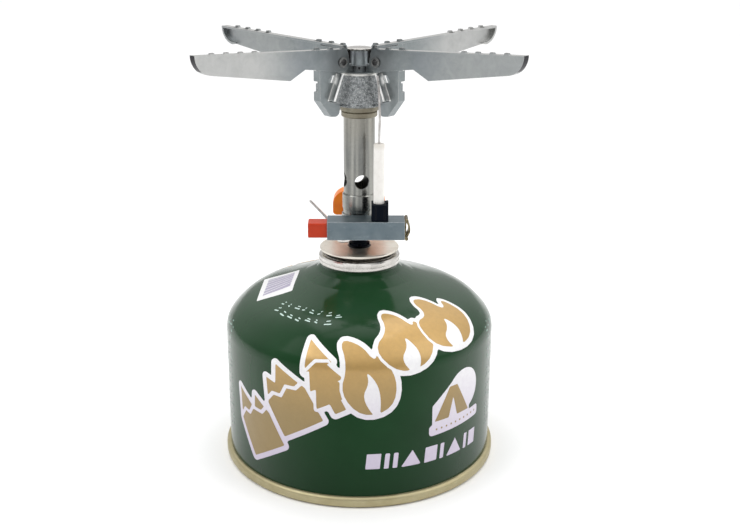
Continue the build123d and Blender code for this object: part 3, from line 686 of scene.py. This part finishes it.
# Each figure of the climbing picture: its outline, the pale line cut into it, and its place
TWIN_PEAK = ((-8.5, -13), (9, -13), (8.8, 0), (4.8, 8), (1.6, 3.2), (-3.6, 13), (-9, 2))
TWIN_SNOW = ((-10, 3.2), (-5, 5.4), (-2.6, 3.4), (0.6, 5), (5, 2), (9.5, 3.4),
             (9.5, 1.9), (5, 0.4), (0.6, 3.4), (-2.6, 1.8), (-5, 3.8), (-10, 1.6))
TALL_PEAK = ((-9, -12.5), (9, -12.5), (9.2, 1), (2.4, 13), (-1.8, 6.6), (-4.8, 10), (-9.2, 1))
TALL_SNOW = ((-10, 3), (-5, 4.6), (-2, 2.6), (2, 5), (5.4, 3), (9.8, 4.2),
             (9.8, 2.6), (5.4, 1.4), (2, 3.4), (-2, 1), (-5, 3), (-10, 1.4))
PINE = ((-2, -13), (2, -13), (2, -9.2), (7, -9.2), (4, -3), (6.2, -3), (3.2, 3.4), (5, 3.4), (0.2, 13.5),
        (-5, 3.4), (-3.2, 3.4), (-6.2, -3), (-4, -3), (-7, -9.2), (-2, -9.2))
PINE_SNOW = ((-4.4, 4.6), (0, 6.4), (4.4, 4.6), (4.6, 3.4), (0, 5.2), (-4.6, 3.4))
TALL_FLAME = ((-5, -14), (-10, -4), (-5, 5), (-6.5, 15), (1, 11), (4, 4), (6, 7), (10, -4), (6, -14))
TALL_HEART = ((-1, -15), (-3.2, -7), (0.4, -2.5), (0.4, 2), (2.8, -3), (3, -8), (1.2, -15))
LOW_FLAME = ((-5, -10), (-11, -1), (-4, 4), (-4, 12), (3, 9), (6, 2), (8, 5), (11, -3), (5, -10))
LOW_HEART = ((-1, -11), (-3.4, -6), (0.2, -3), (0.6, 0.6), (3, -4), (3, -7.5), (1.2, -11))
WIDE_FLAME = ((-8, -9), (-12, 1), (-4, 3), (-5, 11), (3, 10), (6, 2), (11, 8), (13, -3), (6, -10))
WIDE_HEART = ((-1, -11), (-3.8, -6), (0.4, -3), (1.2, 0.6), (4.2, -4), (3.8, -7.5), (1.8, -11))
# Outline, cut, centre, tilt in degrees, enlargement and rounds of corner cutting
CLIMB = (
    (TWIN_PEAK, TWIN_SNOW, (-44.5, 28), 31, 1.04, 0),
    (TALL_PEAK, TALL_SNOW, (-28, 41), 31, 1.04, 0),
    (PINE, PINE_SNOW, (-13.5, 52), 27, 1.14, 0),
    (TALL_FLAME, TALL_HEART, (2.5, 53), 14, 1.1, 2),
    (LOW_FLAME, LOW_HEART, (18.5, 66.5), 10, 1.24, 2),
    (WIDE_FLAME, WIDE_HEART, (42, 70.5), -2, 1.24, 2),
)
FIGURES = []
CUTS = []
for figure, cut_line, centre, tilt, grow, rounds in CLIMB:
    FIGURES.append(smooth_outline(placed(figure, centre, tilt, grow), rounds))
    CUTS.append(smooth_outline(placed(cut_line, centre, tilt, grow), rounds))
# Width of the pale line where one gold figure passes behind the next, and of the pale border, in mm
PALE_GAP = 1.1
PALE_BORDER = 2.0


def banner_pale(points):
    """The climbing picture's ground: all its figures with a border round them."""
    return union(*[polygon_distance(points, figure) for figure in FIGURES]) - PALE_BORDER


def banner_gold(points):
    """The gold figures, each cut back where the next one passes in front, less their cut lines."""
    fields = [polygon_distance(points, figure) for figure in FIGURES]
    cuts = union(*[polygon_distance(points, cut) for cut in CUTS])
    apart = [np.maximum(field, PALE_GAP - ahead) for field, ahead in zip(fields, fields[1:])]
    return np.maximum(union(*apart, fields[-1]), -cuts)


def slanted_bar(points, s, h, width, height, lean):
    """A four-sided bar that stands at s, h and leans sideways."""
    top = h + height
    return polygon_distance(points, ((s, h), (s + width, h), (s + width + lean, top), (s + lean, top)))


def badge_pale(points):
    """The badge's ground: a round moon, a tent's shape and the strip under it."""
    disc = np.hypot(points[:, 0] - 44.5, points[:, 1] - 40.0) - 8.6
    foot = polygon_distance(points, ((28.5, 26.8), (53, 27.6), (53, 29.2), (28.5, 28.4))) - 1.4
    step = polygon_distance(points, ((29.6, 29), (47, 29), (47, 38), (38, 44), (29.6, 37))) - 1.2
    return union(disc, foot, step)


def badge_gold(points):
    """A tent with an open door."""
    tent = polygon_distance(points, ((29.5, 31), (47.5, 31), (40.5, 43.5), (36.5, 43.5)))
    door = polygon_distance(points, ((36, 30), (41, 30), (38.5, 39)))
    return np.maximum(tent, -door)


def badge_marks(points):
    """A row of ten dots under the tent."""
    dot = 0.42
    fields = []
    for k in range(10):
        s, h = 30.5 + 2.4 * k, 27.7 + 0.08 * k
        fields.append(np.hypot(points[:, 0] - s, points[:, 1] - h) - dot)
    return union(*fields)


def tally(points):
    """A row of small peaks, blocks and bars of several widths along the lower right."""
    bar, block, last_block, peak = 1.8, 5.4, 4.4, 8.0
    gap = 1.5
    lean = 0.6
    fields = []
    s = 2.2
    for width in (block, bar, bar, peak, block, bar, peak, bar, last_block):
        low = 15.6 - 0.02 * s
        if width == peak:
            tip = (s + width / 2 + lean, low + 6.4)
            fields.append(polygon_distance(points, ((s, low), (s + width, low), tip)))
        else:
            fields.append(slanted_bar(points, s, low, width, 6.2, lean))
        s += width + gap
    return union(*fields)


LABEL_MARGIN = 1.9


def label_band(near_upper, near_lower, far, margin):
    """Outline of the label on the shoulder, bent so that it lies straight; the margin narrows it."""
    upper = [(s, 90.8 - 0.0063 * (s + 87) ** 2 - margin) for s in np.linspace(near_upper, far, 9)]
    lower = [(s, 75.2 - 0.009 * (s + 86) ** 2 + 1.2 * margin) for s in np.linspace(far, near_lower, 9)]
    return upper + lower


def patch_pale(points):
    """The label's pale ground."""
    return polygon_distance(points, label_band(-57.5, -66.5, -96, 0.0))


def patch_fill(points):
    """The lilac field inside the label."""
    return polygon_distance(points, label_band(-66, -69, -92, LABEL_MARGIN))


def patch_bars(points):
    """Thin pale bars across the lilac field of the label."""
    bars = (-70.6, -74.0, -78.2, -81.6, -85.8, -89.4)
    width = 0.7
    return union(*[polygon_distance(points, label_band(s, s, s - width, LABEL_MARGIN)) for s in bars])


def dash(points, x, y, long, rise, thick):
    """One stroke that starts at x, y and rises towards its far end."""
    end = x + long
    return polygon_distance(points, ((x, y), (end, y + rise), (end, y + rise + thick), (x, y + thick)))


def dashes(points, s, h, count, pitch, size, seed):
    """A row of small uneven dashes in pairs, like a line of fine print with no letters in it."""
    chooser = random.Random(seed)
    fields = []
    for k in range(count):
        x = s + k * pitch
        long = size * chooser.uniform(0.4, 1.0)
        lean = chooser.uniform(-0.5, 0.7)
        y = h + chooser.uniform(-0.5, 0.8)
        fields.append(dash(points, x, y, long, lean, 0.6))
        y += chooser.uniform(1.0, 1.8)
        x += chooser.uniform(0.0, 1.2)
        fields.append(dash(points, x, y, long * 0.6, lean, 0.5))
    return union(*fields)


def small_rows(points):
    """Two rows of dashes above the climbing picture."""
    upper = dashes(points, -50, 77.4, 8, 5.3, 3.6, 3)
    lower = dashes(points, -49, 72.8, 7, 5.3, 3.6, 5)
    return union(upper, lower)


def side_block(points, centre):
    """Eleven rows of faint dashes, one above the other."""
    foot, pitch = 16.0, 4.1
    rows = [dashes(points, centre - 9, foot + pitch * row, 5, 3.9, 3.2, 20 + row) for row in range(11)]
    return union(*rows)


# Heights of the print's layers above the paint, in mm, and the turn of the back's copy
FIRST, SECOND, THIRD = 0.03, 0.05, 0.07
BACK_TURN = math.pi - 0.15
LABEL_BOX = (-104, -52, 68, 92)
for side, turn in (("front", 0.0), ("back", BACK_TURN)):
    printed(f"banner_pale_{side}", banner_pale, (-66, 64, 4, 90), FIRST, PALE_INK, turn, 0.7)
    printed(f"banner_gold_{side}", banner_gold, (-64, 62, 6, 88), SECOND, GOLD_INK, turn, 0.5)
    printed(f"badge_pale_{side}", badge_pale, (24, 58, 22, 52), FIRST, PALE_INK, turn, 0.5)
    printed(f"badge_gold_{side}", badge_gold, (26, 52, 28, 48), SECOND, GOLD_INK, turn, 0.4)
    printed(f"badge_marks_{side}", badge_marks, (28, 56, 26, 30), SECOND, GOLD_INK, turn, 0.25)
    printed(f"tally_pale_{side}", tally, (0, 58, 12, 24), FIRST, PALE_INK, turn, 0.4)
    printed(f"rows_mint_{side}", small_rows, (-54, 0, 68, 86), FIRST, MINT_INK, turn, 0.3)
printed("patch_pale", patch_pale, LABEL_BOX, FIRST, PALE_INK, 0.0, 0.5)
printed("patch_fill", patch_fill, LABEL_BOX, SECOND, LILAC_INK, 0.0, 0.5)
printed("patch_bars", patch_bars, LABEL_BOX, THIRD, PALE_INK, 0.0, 0.3)
for side, centre in (("left", -73.0), ("right", 73.0)):
    block_box = (centre - 12, centre + 14, 12, 64)
    printed(f"lines_ghost_{side}", lambda p: side_block(p, centre), block_box, FIRST, GHOST_INK, 0.0, 0.35)


# ---------------------------------------------------------------- studio
def area_light(name, place, target, size, power):
    """A white rectangular light at place, turned towards target."""
    data = bpy.data.lights.new(name, "AREA")
    data.shape = "RECTANGLE"
    data.size, data.size_y = size
    data.energy = power
    light = bpy.data.objects.new(name, data)
    light.location = place
    light.rotation_euler = (Vector(target) - Vector(place)).to_track_quat("-Z", "Y").to_euler()
    bpy.context.scene.collection.objects.link(light)


def studio():
    """A soft white room: bright overhead, dimmer at the horizon and dimmest behind the camera."""
    world = bpy.data.worlds.new("studio")
    world.use_nodes = True
    tree = world.node_tree
    background = tree.nodes["Background"]
    background.inputs[0].default_value = (1.0, 1.0, 1.0, 1.0)
    coords = tree.nodes.new("ShaderNodeTexCoord")
    parts = tree.nodes.new("ShaderNodeSeparateXYZ")
    tree.links.new(coords.outputs["Generated"], parts.inputs[0])
    upward = (2, 0.0, 0.9, 0.55, 1.35)
    backward = (1, -0.95, -0.3, 0.5, 1.0)
    sideways = (0, -1.0, 1.0, 0.92, 1.08)
    sides = {}
    for axis, low, high, dim, bright in (upward, backward, sideways):
        span = tree.nodes.new("ShaderNodeMapRange")
        span.interpolation_type = "SMOOTHSTEP"
        tree.links.new(parts.outputs[axis], span.inputs["Value"])
        for key, number in (("From Min", low), ("From Max", high), ("To Min", dim), ("To Max", bright)):
            span.inputs[key].default_value = number
        sides[axis] = span.outputs[0]
    strength = sides[2]
    for axis in (1, 0):
        product = tree.nodes.new("ShaderNodeMath")
        product.operation = "MULTIPLY"
        tree.links.new(strength, product.inputs[0])
        tree.links.new(sides[axis], product.inputs[1])
        strength = product.outputs[0]
    tree.links.new(strength, background.inputs[1])
    bpy.context.scene.world = world
    area_light("key", (-0.55, -0.35, 0.75), (0, 0, 0.08), (0.5, 0.5), 1.6)
    area_light("fill", (0.65, -0.25, 0.5), (0, 0, 0.08), (0.4, 0.6), 0.9)
    area_light("top", (0.0, 0.15, 0.9), (0, 0, 0.1), (0.6, 0.6), 1.6)


def floor():
    """A plain white floor just under the canister, wide enough to reach the horizon."""
    half_width = 40.0
    mesh = bmesh.new()
    bmesh.ops.create_grid(mesh, x_segments=8, y_segments=8, size=half_width)
    data = bpy.data.meshes.new("floor")
    mesh.to_mesh(data)
    mesh.free()
    plane = bpy.data.objects.new("floor", data)
    plane.location = (0, 0, cad_box[0][2] - 0.0001)
    bpy.context.scene.collection.objects.link(plane)
    m = Shade("floor_white", (0.95, 0.95, 0.95), roughness=0.7)
    m.color(m.mix(m.span(m.noise(8, 2), 0.3, 0.7), (0.94, 0.94, 0.94), (0.96, 0.96, 0.96)))
    data.materials.append(m.material)


def camera():
    """Stands in front at -Y, tipped down, with the lens that gives the wide near view."""
    image_width = 740
    distance = 0.4105
    height = 0.2160
    pitch = 18.43
    focal_in_widths = 1.470
    sensor = 36.0
    data = bpy.data.cameras.new("camera")
    data.sensor_fit = "HORIZONTAL"
    data.sensor_width = sensor
    data.lens = focal_in_widths * sensor
    data.shift_x = 10.7 / image_width
    data.shift_y = -4.4 / image_width
    data.clip_start = 0.01
    eye = bpy.data.objects.new("camera", data)
    eye.location = (0, -distance, height)
    eye.rotation_euler = (math.radians(90 - pitch), 0, 0)
    bpy.context.scene.collection.objects.link(eye)
    bpy.context.scene.camera = eye


floor()
studio()
camera()
bpy.context.scene.view_settings.view_transform = "Standard"
